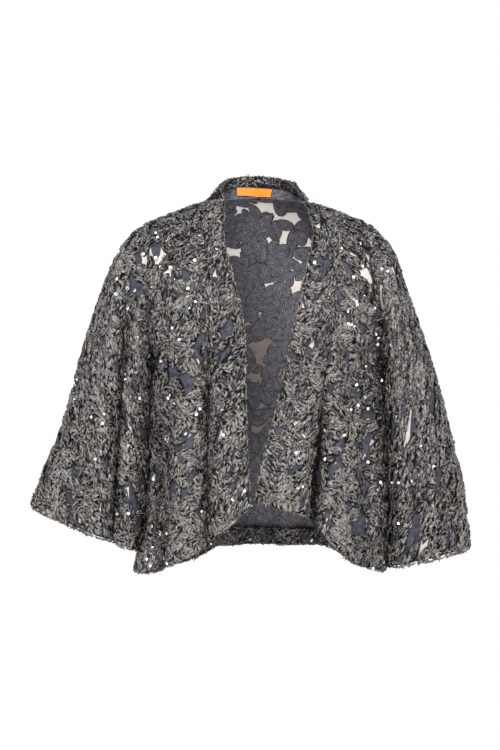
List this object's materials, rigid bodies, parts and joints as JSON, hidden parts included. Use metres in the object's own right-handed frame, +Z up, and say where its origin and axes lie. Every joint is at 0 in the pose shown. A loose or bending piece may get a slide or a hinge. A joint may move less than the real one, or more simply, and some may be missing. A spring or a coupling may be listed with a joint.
{
  "type": "short open-front kimono jacket",
  "caption": "Short open-front kimono jacket with wide bell sleeves and a stand-up neck band, in sheer net covered with gathered ribbon, in its hollow worn form.",
  "frame": {"origin": "midway between the two points where the shoulder seams meet the neck band, where the garment rests on its wearer", "axes": "+X from the wearer's right to the left, across the widest part of the sleeves; +Y from the front to the back, the shallowest way; +Z up"},
  "size_m": [0.7399, 0.2863, 0.6785],
  "materials": {
    "ribbon_net": "matt gathered ribbon in close rows on sheer net",
    "ribbon_turned": "the same ribbon cloth, turned to the inside",
    "label_satin": "satin, bare"
  },
  "bodies": {
    "root": {"back": "ribbon_net", "right_front": "ribbon_net", "left_front": "ribbon_net", "right_sleeve": "ribbon_net", "left_sleeve": "ribbon_net", "neck_band": "ribbon_net", "neck_turnover": "ribbon_turned", "back_hem_turnup": "ribbon_turned", "neck_label": "label_satin"}
  },
  "joints": []
}
